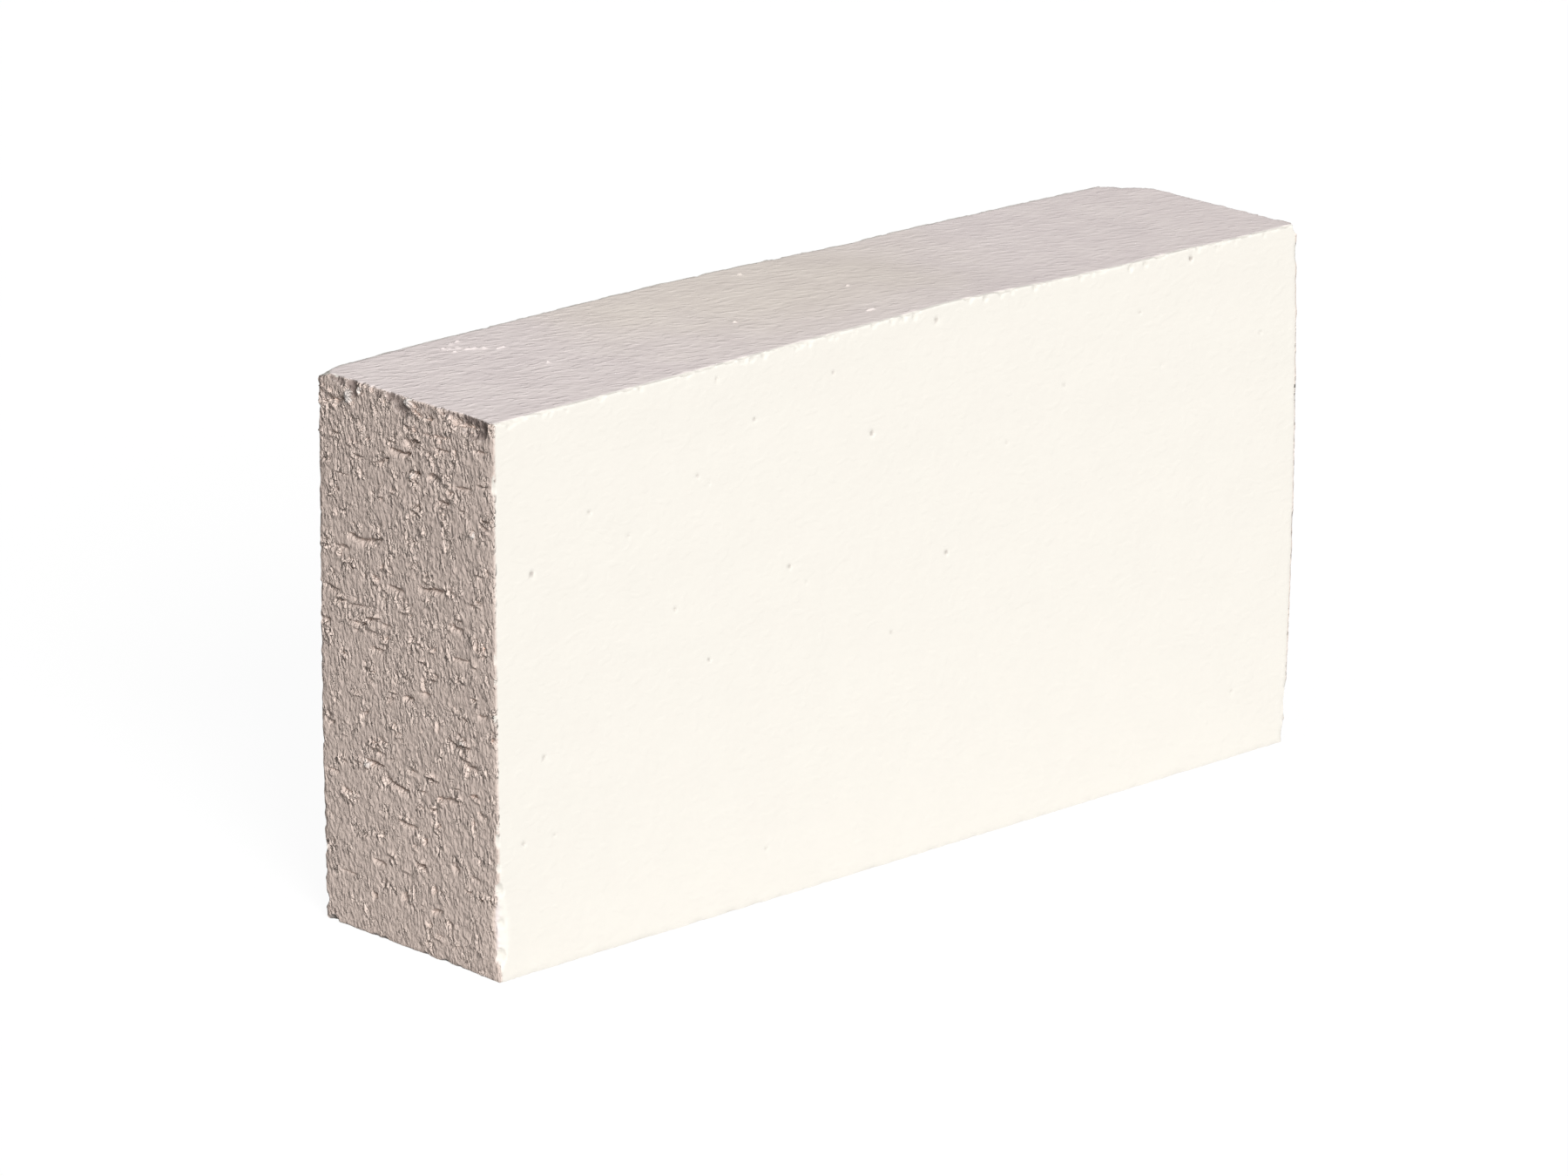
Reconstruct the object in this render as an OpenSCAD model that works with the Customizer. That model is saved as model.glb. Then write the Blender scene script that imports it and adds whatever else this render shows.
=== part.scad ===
// Firebrick: one solid block of fired refractory clay, standing on its long narrow face.
// X runs along the length, Y through the thickness and Z up the height.
// The origin is at the middle of the face that it stands on.
// The near end faces -X, the front -Y and the back +Y.

/* [Brick] */
// Length of the block, from end face to end face
brick_length = 220; // [200:1:250]
// Height of the block as it stands, which is its width once it is laid flat
brick_height = 110; // [90:1:130]
// Thickness of the block, between its two large faces
brick_thickness = 50; // [40:1:80]
// Radius that rounds each of the twelve arrises
arris_radius = 0.8; // [0.3:0.1:3]

/* [Far corner, knocked off at the top and back] */
// Reach of the far corner's break along the length
far_break_length = 8.5; // [3:0.5:15]
// Reach of the far corner's break across the thickness
far_break_across = 10; // [3:0.5:15]
// Reach of the far corner's break down the height
far_break_drop = 6; // [3:0.5:15]

/* [Near corner, worn at the top and back] */
// Reach of the near corner's wear along the length
near_break_length = 7; // [3:0.5:15]
// Reach of the near corner's wear across the thickness
near_break_across = 4; // [2:0.5:10]
// Reach of the near corner's wear down the height
near_break_drop = 2; // [1.5:0.5:10]

/* [Bites out of the near end's top arris] */
// Depth of each bite into the end face
bite_depth = 1.2; // [0.5:0.1:3]
// Distance from the back face to the middle of the back bite
back_bite_place = 9.5; // [7:0.5:14]
// Width of the back bite along the arris
back_bite_width = 3; // [2:0.5:8]
// Drop of the back bite down the end face
back_bite_drop = 3.8; // [1:0.2:6]
// Distance from the back face to the middle of the middle bite
middle_bite_place = 23.5; // [18:0.5:28]
// Width of the middle bite along the arris
middle_bite_width = 6.8; // [2:0.2:8]
// Drop of the middle bite down the end face
middle_bite_drop = 4; // [1:0.2:6]
// Distance from the front face to the middle of the front bite
front_bite_place = 6.5; // [5:0.5:10]
// Width of the front bite along the arris
front_bite_width = 8; // [2:0.5:8]
// Drop of the front bite down the end face
front_bite_drop = 2.4; // [1:0.2:6]

/* [Hidden] */
clay = [0.95, 0.92, 0.87];
$fn = 64;
half_length = brick_length / 2;
half_thickness = brick_thickness / 2;

// A rectangle about the origin with its four corners rounded.
module rounded_rectangle(width, height) {
    square([width - 2 * arris_radius, height], center = true);
    square([width, height - 2 * arris_radius], center = true);
    for (side = [-1, 1], end = [-1, 1])
        translate([side * (width / 2 - arris_radius), end * (height / 2 - arris_radius)])
            circle(r = arris_radius);
}

// The block where its plan, its side view and its end view all agree,
// which rounds every arris alike and leaves the faces flat.
module rounded_block() {
    intersection() {
        linear_extrude(brick_height)
            rounded_rectangle(brick_length, brick_thickness);
        translate([0, half_thickness, brick_height / 2]) rotate([90, 0, 0])
            linear_extrude(brick_thickness)
                rounded_rectangle(brick_length, brick_height);
        translate([-half_length, 0, brick_height / 2]) rotate([90, 0, 90])
            linear_extrude(brick_length)
                rounded_rectangle(brick_thickness, brick_height);
    }
}

// What breaks off a top back corner along one flat fracture, which meets the corner's
// three edges at the three reaches. end is -1 for the near end and 1 for the far one.
module corner_break(end, along, across, drop) {
    facing = [end / along, 1 / across, 1 / drop];
    size = 2 * max(along, across, drop);
    translate([end * half_length, half_thickness, brick_height - drop])
        rotate([0, acos(facing.z / norm(facing)), atan2(facing.y, facing.x)])
            translate([-size, -size, 0]) cube(2 * size);
}

// What breaks out of the near end's top arris at this place across the thickness: the
// cap of a ball. Its rim on the end face is a circle as wide as the bite where the arris
// crosses it, and that reaches down the face by the drop.
module bite(place, width, drop) {
    rim_radius = (pow(drop, 2) + pow(width / 2, 2)) / (2 * drop);
    ball_radius = (pow(rim_radius, 2) + pow(bite_depth, 2)) / (2 * bite_depth);
    translate([-half_length + bite_depth - ball_radius, place,
               brick_height - drop + rim_radius])
        sphere(r = ball_radius);
}

module firebrick() {
    color(clay) difference() {
        rounded_block();
        corner_break(1, far_break_length, far_break_across, far_break_drop);
        corner_break(-1, near_break_length, near_break_across, near_break_drop);
        bite(half_thickness - back_bite_place, back_bite_width, back_bite_drop);
        bite(half_thickness - middle_bite_place, middle_bite_width, middle_bite_drop);
        bite(front_bite_place - half_thickness, front_bite_width, front_bite_drop);
    }
}

firebrick();
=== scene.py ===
# %% [markdown]
# # A firebrick, worked out with numpy
#
# A firebrick is one block of pale fired clay, as thick as a book. The exact model gives its size
# and its main breaks. This file dresses it with one closed surface that has worn arrises, a torn
# end, chips and pinholes, gives it the finish of unglazed fireclay, and lights it plainly.

import bpy
import numpy as np
from mathutils import Matrix, Vector


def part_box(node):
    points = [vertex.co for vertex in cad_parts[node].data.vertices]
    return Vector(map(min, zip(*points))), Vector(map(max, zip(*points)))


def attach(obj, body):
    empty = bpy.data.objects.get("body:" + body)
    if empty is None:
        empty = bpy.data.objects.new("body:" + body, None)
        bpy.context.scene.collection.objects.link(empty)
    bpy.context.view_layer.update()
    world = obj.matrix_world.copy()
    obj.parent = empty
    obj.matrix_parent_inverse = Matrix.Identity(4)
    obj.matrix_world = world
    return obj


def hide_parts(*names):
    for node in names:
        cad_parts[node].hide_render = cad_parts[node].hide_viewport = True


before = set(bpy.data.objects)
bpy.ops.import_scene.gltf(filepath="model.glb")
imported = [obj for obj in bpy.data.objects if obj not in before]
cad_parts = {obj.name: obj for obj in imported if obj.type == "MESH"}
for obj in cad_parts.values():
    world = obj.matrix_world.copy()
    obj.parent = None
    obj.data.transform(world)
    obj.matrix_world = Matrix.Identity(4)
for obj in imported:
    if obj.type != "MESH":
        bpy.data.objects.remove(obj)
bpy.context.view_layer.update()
MM = 0.001
LOW, HIGH = (np.array(corner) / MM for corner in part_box("firebrick"))
NEAR, FRONT, FOOT = LOW
FAR, BACK, TOP = HIGH
SIZE = HIGH - LOW
MIDDLE = (LOW + HIGH) / 2


def in_scene(name, data):
    """A new object of this name and data, linked into the scene."""
    item = bpy.data.objects.new(name, data)
    bpy.context.scene.collection.objects.link(item)
    return item


print("the block measures", SIZE.round(2), "mm")

# %% [markdown]
# ## The camera
#
# A brick is best shown by a long lens from a few metres off, which keeps its arrises nearly
# parallel. The camera stands in front of the near left corner and looks a little down, so that it
# sees the front, the torn end and the top. Its matrix is built from three angles, so that each can
# be set by itself.

# %% Place the camera
CAMERA_PLACE = np.array((-1098.6, -1117.1, 526.6)) * MM
HEADING, DIP, ROLL = np.radians((44.238, 16.926, 0.57))
FOCAL_LENGTH = 189.86
SENSOR_WIDTH = 36

forward = np.array((np.sin(HEADING) * np.cos(DIP), np.cos(HEADING) * np.cos(DIP), -np.sin(DIP)))
level = np.array((np.cos(HEADING), -np.sin(HEADING), 0))
upright = np.cross(level, forward)
right = np.cos(ROLL) * level + np.sin(ROLL) * upright
up = np.cos(ROLL) * upright - np.sin(ROLL) * level

lens = bpy.data.cameras.new("camera")
lens.sensor_width = SENSOR_WIDTH
lens.lens = FOCAL_LENGTH
camera = in_scene("camera", lens)
turn = Matrix(np.column_stack((right, up, -forward)).tolist()).to_4x4()
camera.matrix_world = Matrix.Translation(CAMERA_PLACE.tolist()) @ turn
bpy.context.scene.camera = camera
print("the lens is", round(lens.lens, 1), "mm")

# %% [markdown]
# ## The marks on the smooth faces
#
# Small bubbles, and grains that burnt out in the kiln, left pinholes in the front face. The top
# was scuffed where another brick lay on it. Both are few, so they are listed one by one, and the
# lattice below is finer round them.

# %% List the pinholes and the scuffs
# Pinholes in the front face: place along the length, height and radius in mm.
PINHOLES = np.array((
    (-52.7, 107.4, 0.45), (-21.7, 102.4, 0.4), (-42.7, 97.4, 0.4), (-11.1, 88.4, 0.6),
    (63.9, 99.4, 0.4), (-57.7, 89.4, 0.45), (-54.7, 87.4, 0.35), (-85.7, 88, 0.45),
    (-100.4, 79.1, 0.6), (-75.7, 81.4, 0.35), (42.3, 88.4, 0.4), (70.3, 87.4, 0.35),
    (99.3, 89, 0.4), (26.3, 79.4, 0.35), (-33.3, 66.4, 0.5), (-28.7, 62.4, 0.35),
    (-63.7, 64.4, 0.4), (9.6, 60.4, 0.5), (-54.7, 52.4, 0.45), (-5.7, 47.4, 0.35),
    (-97.7, 42.4, 0.45), (-103.3, 26.4, 0.45), (-95.4, 26.4, 0.35), (-39.7, 10.8, 0.35),
    (93.3, 14.4, 0.4), (78.6, 108, 0.6), (6.4, 107.4, 0.5)))

# Pale scuffs on the top: place along and across, half length and half width in mm.
SCUFFS = np.array((
    (-84.2, 18.2, 0.8, 0.45), (-82.9, 17.6, 1, 0.55), (-81.4, 17, 0.9, 0.65),
    (-80.2, 15.6, 1.1, 0.55), (-79, 14.8, 1.1, 0.65), (-77.7, 13.7, 0.9, 0.55),
    (-75.2, 11.8, 1.4, 0.4), (-83.6, 15.6, 0.6, 0.4), (-80.8, 19.8, 0.7, 0.45),
    (-78.6, 20.4, 0.6, 0.4), (-74.9, -1.6, 0.6, 0.4), (-30, -6, 0.6, 0.35),
    (-4.3, -17.4, 1.4, 0.4), (-5.2, 19, 0.9, 0.35), (4.9, -1.4, 0.6, 0.3)))
print(len(PINHOLES), "pinholes and", len(SCUFFS), "scuffs")

# %% [markdown]
# ## A lattice on the block
#
# Every point of the surface starts on a lattice wrapped round the block. Fine cells go to the torn
# end, the arrises and the pinholes, and coarser ones fill the plain faces. A subdivision surface
# would spend as many faces on the plain parts as on the broken ones.

# %% Choose the cell sizes
COUNTS = np.array((624, 144, 312))
PATCH = 8
STEP = SIZE / COUNTS
PATCHES = COUNTS // PATCH
COARSEST = 3


def patch_of(along, axis):
    """The number of the patch that a place along one axis falls in."""
    return ((along - LOW[axis]) / STEP[axis] / PATCH).astype(int)


def patch_levels():
    """How coarse the cells of each patch are: a cell of level n is 2^n steps wide.

    The level is 0 on the near end, the front top arris, the pinholes and the scuffs, 1 on the other
    arrises, 2 on the far end and the back foot arris, and 3 elsewhere. Then it is lowered until it
    changes by one at most between patches that touch."""
    levels = np.full(PATCHES, COARSEST)
    levels[-1] = 2
    levels[-1, ::PATCHES[1] - 1] = 1
    levels[-1, :, ::PATCHES[2] - 1] = 1
    levels[:, ::PATCHES[1] - 1, ::PATCHES[2] - 1] = 1
    levels[:, -1, 0] = 2
    levels[:, 0, -1] = 0
    levels[0] = 0
    levels[patch_of(PINHOLES[:, 0], 0), 0, patch_of(PINHOLES[:, 1], 2)] = 0
    levels[patch_of(SCUFFS[:, 0], 0), patch_of(SCUFFS[:, 1], 1), -1] = 0
    for _ in range(COARSEST):
        wide = np.pad(levels, 1, mode="edge")
        lowest = np.min([wide[i:i + PATCHES[0], j:j + PATCHES[1], k:k + PATCHES[2]]
                         for i, j, k in np.ndindex(3, 3, 3)], axis=0)
        levels = np.minimum(levels, lowest + 1)
    return levels


levels = patch_levels()
print("the finest cells measure", STEP.round(3), "mm")
print("the coarsest cells measure", (STEP * 2**COARSEST).round(2), "mm")

# %% [markdown]
# ## The cells
#
# A face of the lattice is the outer layer of patches on that side. Each cell of it starts with
# eight stations, its corners and the middles of its sides. A middle stays only where the next cell
# is finer, so that no crack opens. One number keys each station to its place in the lattice, so
# faces that meet at an arris share their points, and nothing has to be merged.

# %% Lay out the cells
# The stations of a cell in order round it, in half cell widths.
STATIONS = np.array(((0, 0), (1, 0), (2, 0), (2, 1), (2, 2), (1, 2), (0, 2), (0, 1)))
PLACES = tuple(COUNTS + 1)


def face_cells(axis, side):
    """The cells of one face: the keys of their corners one after another, and how many each has.

    The key of a place is its number when all places of the lattice are counted row by row. The
    corners of a side at the low end of its axis are reversed, so that it faces outward too."""
    first, second = (axis + 1) % 3, (axis + 2) % 3
    layer = np.take(levels, -side, axis=axis)
    steps = 2**(layer if axis != 1 else layer.T)
    keys, counts = [], []
    for step in 2**np.arange(COARSEST + 1):
        grid = np.meshgrid(np.arange(0, COUNTS[first], step), np.arange(0, COUNTS[second], step),
                           indexing="ij")
        cells = np.stack([g.ravel() for g in grid], axis=1)
        cells = cells[steps[tuple((cells // PATCH).T)] == step]
        keep = np.ones((len(cells), 8), bool)
        for station, shift in ((1, (0, -1)), (3, (step, 0)), (5, (0, step)), (7, (-1, 0))):
            neighbour = np.clip((cells + shift) // PATCH, 0, np.array(steps.shape) - 1)
            keep[:, station] = steps[tuple(neighbour.T)] < step
        place = np.empty((len(cells), 8, 3), int)
        place[:, :, axis] = side * COUNTS[axis]
        place[:, :, [first, second]] = cells[:, None] + STATIONS * step // 2
        if side == 0:
            place, keep = place[:, ::-1], keep[:, ::-1]
        keys.append(np.ravel_multi_index(tuple(place[keep].T), PLACES))
        counts.append(keep.sum(axis=1))
    return np.concatenate(keys), np.concatenate(counts)


faces = [face_cells(axis, side) for axis in range(3) for side in (0, 1)]
corner_keys, corner_counts = (np.concatenate(parts) for parts in zip(*faces))
point_keys, corners = np.unique(corner_keys, return_inverse=True)
lattice = np.stack(np.unravel_index(point_keys, PLACES), axis=1)
start = LOW + lattice * STEP
print(len(start), "points,", len(corner_counts), "cells,", int((corner_counts - 2).sum()),
      "triangles")

# %% [markdown]
# ## Random relief
#
# Clay tears and wears at random, but smoothly at each scale. Gradient noise gives that: random
# slopes sit on a grid of the wanted size, and each point blends the eight slopes round it. It is
# worked out here and not in a texture, because the same numbers shape the mesh and mark where it
# is torn. The seed is fixed, so that the brick comes out the same each time.

# %% Make the noise
random = np.random.default_rng(686)
SLOPES = random.normal(size=(256, 3))
SLOPES /= np.linalg.norm(SLOPES, axis=1, keepdims=True)
SHUFFLE = random.permutation(256)
SEED_SHIFT = 31.7
NOISE_SPREAD = 1.6


def noise(points, grain, seed=0):
    """A smooth random field, about -1 to 1, whose lumps are about as large as the grain, in mm.

    n = the sum over a cell's corners of w(u) w(v) w(w) times (slope . offset), where the weight of
    a corner is 6t^5 - 15t^4 + 10t^3 of how near the point is to it along each axis."""
    grid = points / grain + seed * SEED_SHIFT
    cell = np.floor(grid).astype(int)
    inside = grid - cell
    fade = inside**3 * (inside * (inside * 6 - 15) + 10)
    total = np.zeros(len(points))
    for corner in np.ndindex(2, 2, 2):
        key = np.zeros(len(points), int)
        for axis in range(3):
            key = SHUFFLE[(key + cell[:, axis] + corner[axis]) & 255]
        weight = np.where(corner, fade, 1 - fade).prod(axis=1)
        total += weight * np.einsum("ij,ij->i", SLOPES[key], inside - corner)
    return total * NOISE_SPREAD


def smooth_step(value, low, high):
    """0 below low, 1 above high, and 3t^2 - 2t^3 between them."""
    t = np.clip((value - low) / (high - low), 0, 1)
    return t * t * (3 - 2 * t)


sample = noise(start, 5)
print("noise runs from", sample.min().round(2), "to", sample.max().round(2))

# %% [markdown]
# ## The torn ends
#
# The clay comes out of the press as a long bar, and a wire cuts it to length. The wire drags the
# coarse grains along, so both ends are torn: leaning ticks all over, pits, and short level tears.
# The largest tears and the roughest patches are listed one by one, because an even scatter has none
# of the clusters that a real tear has.

# %% List the tears and the rough patches
# Tears across the near end: place across, height, length, rise from level in degrees, width and
# depth in mm.
TEARS = np.array((
    (20.4, 105.5, 6, 7, 0.45, 0.7), (-17.6, 109.2, 11, -2, 0.9, 1.1),
    (-8.7, 104.4, 9, 6, 0.22, 0.4), (-10.2, 101.9, 5, 3, 0.22, 0.4),
    (-1.6, 101.6, 3.4, 4, 0.6, 0.7), (1.7, 99, 6.4, 2, 0.45, 0.8), (-21.4, 104, 4, 3, 0.25, 0.4),
    (-16.3, 95.8, 5.4, 3, 0.25, 0.5), (-3.3, 95.8, 3, -4, 0.4, 0.5),
    (6.2, 96.3, 3.4, 24, 0.35, 0.5), (-7.6, 96.2, 3, 10, 0.5, 0.6), (-10.5, 91.6, 4, 12, 0.4, 0.5),
    (18.5, 91, 7, 2, 0.25, 0.2), (14.4, 79.3, 5, -8, 0.5, 0.8), (9.6, 79.8, 6, 14, 0.45, 0.7),
    (18.6, 76.6, 5, 2, 0.4, 0.5), (-7.4, 73.9, 8, 5, 0.4, 0.7), (3, 71.8, 5, -4, 0.35, 0.6),
    (-14.6, 68, 3.4, -6, 0.5, 0.6), (21.8, 67.8, 5, -5, 0.4, 0.5), (13, 66.1, 9, 6, 0.25, 0.3),
    (13.6, 62.6, 4, 4, 0.35, 0.5), (-15.5, 62.1, 5.5, 7, 0.25, 0.45), (6, 64, 4, -4, 0.35, 0.4),
    (8.4, 58.5, 4, 6, 0.4, 0.5), (23.4, 61, 2.6, 0, 0.5, 0.5), (-0.4, 50.9, 3, 0, 0.5, 0.6),
    (-5, 53, 3.4, 0, 0.35, 0.5), (10.6, 53.8, 4, 0, 0.35, 0.4), (-21.5, 52.4, 3, 0, 0.4, 0.5),
    (12.4, 44.9, 2.6, 20, 0.5, 0.5), (-13.3, 44.7, 5, -18, 0.45, 0.6),
    (-17.8, 41.4, 3.6, -2, 0.4, 0.7), (22.6, 41, 2.6, -10, 0.4, 0.5),
    (9.8, 35.3, 5.4, 2, 0.5, 0.85), (8.4, 37.6, 4, 3, 0.3, 0.3), (3.4, 32.5, 7.4, -15, 0.42, 0.8),
    (-11.6, 33.4, 7, 8, 0.4, 0.7), (-21, 32.5, 2.6, -8, 0.45, 0.5), (22, 31, 4, -6, 0.3, 0.4),
    (0.4, 25.4, 5.6, -2, 0.3, 0.6), (-4.3, 23.4, 1.6, 0, 0.6, 0.7), (-13, 20, 2, -20, 0.4, 0.5),
    (-18.6, 19.2, 2.6, -10, 0.4, 0.5), (-3, 18.1, 2.6, 0, 0.5, 0.6), (8.6, 15.7, 4, -3, 0.35, 0.5),
    (17.6, 11.4, 5, 0, 0.22, 0.35), (1.6, 10.7, 2, 0, 0.6, 0.7), (-7.4, 9.9, 3.4, 12, 0.45, 0.6),
    (10.4, 8.8, 1.8, 0, 0.6, 0.8), (-11, 8.5, 1.8, -20, 0.45, 0.5)))
TEAR_STRENGTH = 1.4

# Rougher patches of the near end: place across, height and radius in mm.
ROUGH_PATCHES = np.array((
    (-9, 94, 4.5), (5, 80.5, 3.5), (8, 70.7, 5), (-6, 62, 4.2), (5, 58.8, 5), (2, 50, 5),
    (-14.5, 49.5, 2.5), (12.4, 44.5, 2.5), (-13.5, 44, 4.5), (10.6, 35.6, 4), (3, 32.2, 4),
    (-10.5, 32.5, 2.5), (-4, 23, 2), (-2, 17.6, 3), (0.5, 10.7, 3), (-7.3, 9.8, 2.5),
    (10.4, 8.8, 1.8), (18, 64, 3), (-2, 84, 4), (20, 105, 4), (-3, 101.5, 3), (15, 98, 4),
    (24, 98, 3), (-14, 106, 5), (-3, 107, 4), (8, 106, 5)))
PATCH_ROUGHNESS = 0.4
print(len(TEARS), "tears and", len(ROUGH_PATCHES), "rough patches")

# %% [markdown]
# ## How rough the ends are
#
# The wire goes through some of the clay cleanly and rips the rest. So one field says how rough
# each place of an end is, and it scales the relief, makes ticks likelier and tells the finish
# where the clay is crumbled. Everything on an end leans with the drag of the wire, so the fields
# are read in axes that are turned to it.

# %% Make the roughness
DRAG_LEAN = np.radians(10)
DRAG_WANDER = 0.5
ROUGHNESS_GRAIN = 3.5
SMOOTHEST, ROUGHEST = 0.2, 2.4
NEAR_SEED, FAR_SEED = 0, 9


def along_drag(points, seed):
    """Points of an end turned to the wire's drag, as three numbers for the noise.

    They are y cos a - z sin a across the drag, y sin a + z cos a along it, and 5 x seed."""
    across, height = points[:, 1], points[:, 2]
    flat = np.stack((across * np.cos(DRAG_LEAN) - height * np.sin(DRAG_LEAN),
                     across * np.sin(DRAG_LEAN) + height * np.cos(DRAG_LEAN),
                     np.full(len(points), 5.0 * seed)), axis=1)
    flat[:, 0] += DRAG_WANDER * noise(flat, 3, seed + 8)
    return flat


def roughness(points, seed):
    """How rough an end is at these points, from 0.2 where the wire left it smooth to 2.4.

    r = (0.41 e^(3.1 n) + 0.4 x the sum of e^-(distance / radius)^2 over the rough patches) x
    (0.6 + 0.7 height / full height), where n is a noise. The far end has no listed patches."""
    rough = 0.41 * np.exp(3.1 * noise(along_drag(points, seed), ROUGHNESS_GRAIN, seed))
    if seed == NEAR_SEED:
        for across, height, radius in ROUGH_PATCHES:
            square = (points[:, 1] - across)**2 + (points[:, 2] - height)**2
            rough += PATCH_ROUGHNESS * np.exp(-square / radius**2)
    return np.clip(rough * (0.6 + 0.7 * points[:, 2] / TOP), SMOOTHEST, ROUGHEST)


near_roughness = roughness(start[start[:, 0] == NEAR], NEAR_SEED)
print("the near end's roughness is", near_roughness.mean().round(2), "on the mean")

# %% [markdown]
# ## Ticks
#
# Between the tears lie hundreds of short ticks, where one grain was dragged a little way. Each is
# a groove beside a lip. Their places are drawn by chance and thinned by the roughness, so that
# they crowd where the clay is ripped.

# %% Scatter the ticks
TICKS = 400
TICK_HALF_LENGTHS = (0.5, 1.8)
TICK_HALF_WIDTHS = (0.2, 0.4)
TICK_DEPTHS = (0.13, 0.52)
TURNED_OVER = 0.3
LEVEL_TICKS = 0.75


def scattered_ticks(seed, count):
    """Short ticks for an end, as rows of place across, height, half length, half width, depth and
    rise.

    Twelve places are drawn for each tick, and one is kept with the chance (r / 2.4)^1.8, where r
    is the roughness there. Three in four ticks lie nearly level, and the others lie along the
    drag. A tick with a negative depth has its groove below its lip, and not above it."""
    dice = np.random.default_rng(seed)
    places = np.zeros((12 * count, 3))
    places[:, 1:] = dice.uniform(LOW[1:], HIGH[1:], (12 * count, 2))
    chance = (roughness(places, seed) / ROUGHEST)**1.8
    kept = places[dice.random(12 * count) < chance][:count]
    amount = len(kept)
    half_length = np.interp(dice.random(amount)**2, (0, 1), TICK_HALF_LENGTHS)
    half_width = np.interp(dice.random(amount), (0, 1), TICK_HALF_WIDTHS)
    depth = np.interp(dice.random(amount)**2, (0, 1), TICK_DEPTHS)
    depth *= np.where(dice.random(amount) < TURNED_OVER, -1, 1)
    rise = np.where(dice.random(amount) < LEVEL_TICKS, dice.normal(0, 0.25, amount),
                    np.pi / 2 - DRAG_LEAN + dice.normal(0, 0.2, amount))
    return np.column_stack((kept[:, 1:], half_length, half_width, depth, rise))


print(len(scattered_ticks(NEAR_SEED, TICKS)), "ticks on the near end")

# %% [markdown]
# ## The depth of a torn end
#
# This is the recess below the end's plane, as a function of two parameters, the place across the
# end and the height. Long swells carry plates, where a flake of clay came away, and the plates
# carry lumps, grit and pits. What is finer than a cell is left to the finish.

# %% Tear the ends
# Relief of a torn end: its depth in mm, and the size of its lumps across and along the drag.
SWELL = (0.14, 26)
SHORT_SWELL = (0.04, 8)
PLATES = (0.06, (4, 4.5, 5))
SMALL_PLATES = (0.06, (2.4, 3, 5))
LUMPS = (0.085, (1.6, 2.6, 5))
GRIT = (0.2, (0.7, 1.6, 5))
PITS = (0.12, (0.9, 1.2, 5))
WANDER = (0.5, 1.8)


def rolling(flat, relief, seed):
    """Relief that rises and falls smoothly: its depth times a noise."""
    depth, size = relief
    return depth * noise(flat, size, seed)


def stepped(flat, relief, seed, low, high):
    """Relief with steep walls: its depth times a smooth step of a noise between two thresholds."""
    depth, size = relief
    return depth * smooth_step(noise(flat, size, seed), low, high)


def torn_recess(points, seed):
    """Depth of a torn end below its plane, in mm, at these points of it.

    d = swells + plates + (lumps + grit + pits) x roughness + ticks + tears. A tick is a groove
    beside a lip, v e^((1 - v^2) / 2 - u^4), where v is the distance from its line over its half
    width, and u the distance along it over its half length. A tear is a groove with the profile
    (1 - u^2)^0.5 e^-(v / w)^2, and w is three times as large below its line as above it, as the
    wire lifts the lower lip. It all gets shallower in the last 1.6 mm before the front, where the
    wire came out."""
    across, height = points[:, 1], points[:, 2]
    flat = along_drag(points, seed)
    swells = rolling(flat, SWELL, seed + 1) + rolling(flat, SHORT_SWELL, seed + 2)
    plates = stepped(flat, PLATES, seed + 3, 0, 0.08)
    plates += stepped(flat, SMALL_PLATES, seed + 9, 0.1, 0.2)
    ripped = rolling(flat, LUMPS, seed + 4) + rolling(flat, GRIT, seed + 5)
    ripped += stepped(flat, PITS, seed + 6, 0.42, 0.68)
    depth = swells + plates + ripped * roughness(points, seed)
    wander = rolling(flat, WANDER, seed + 7)
    for row in scattered_ticks(seed, TICKS):
        tick_across, tick_height, half_length, half_width, tick_depth, rise = row
        right, up = across - tick_across, height - tick_height
        along = (right * np.cos(rise) + up * np.sin(rise)) / half_length
        off = (up * np.cos(rise) - right * np.sin(rise)) / half_width + wander
        depth += tick_depth * off * np.exp((1 - off**2) / 2 - along**4)
    if seed == NEAR_SEED:
        for tear_across, tear_height, length, rise, width, tear_depth in TEARS:
            right, up = across - tear_across, height - tear_height
            along = right / (length / 2)
            off = up + np.tan(np.radians(rise)) * right + wander * width * 2
            reach = np.where(off > 0, 0.55, 1.6) * width
            profile = np.clip(1 - along**2, 0, 1)**0.5
            depth += TEAR_STRENGTH * tear_depth * profile * np.exp(-(off / reach)**2)
    return depth * (0.4 + 0.6 * smooth_step(across - FRONT, 0, 1.6))


up_the_end = torn_recess(np.linspace((NEAR, 0, FOOT), (NEAR, 0, TOP)), NEAR_SEED)
print("up the near end it is", up_the_end.min().round(2), "to", up_the_end.max().round(2), "mm")

# %% [markdown]
# ## The pressed faces
#
# The four long faces slid through the mouth of the press. They are smooth, with long faint
# ripples, and only the front face's pinholes are deep enough to be real holes. The drag lines are
# finer than the cells there, and are left to the finish.

# %% Shape the pressed faces
RIPPLE_DEPTH = 0.05
RIPPLE_SIZE = (72, 9, 9)
PINHOLE_DEPTH = 0.4
SCUFF_HEIGHT = 0.4


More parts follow.
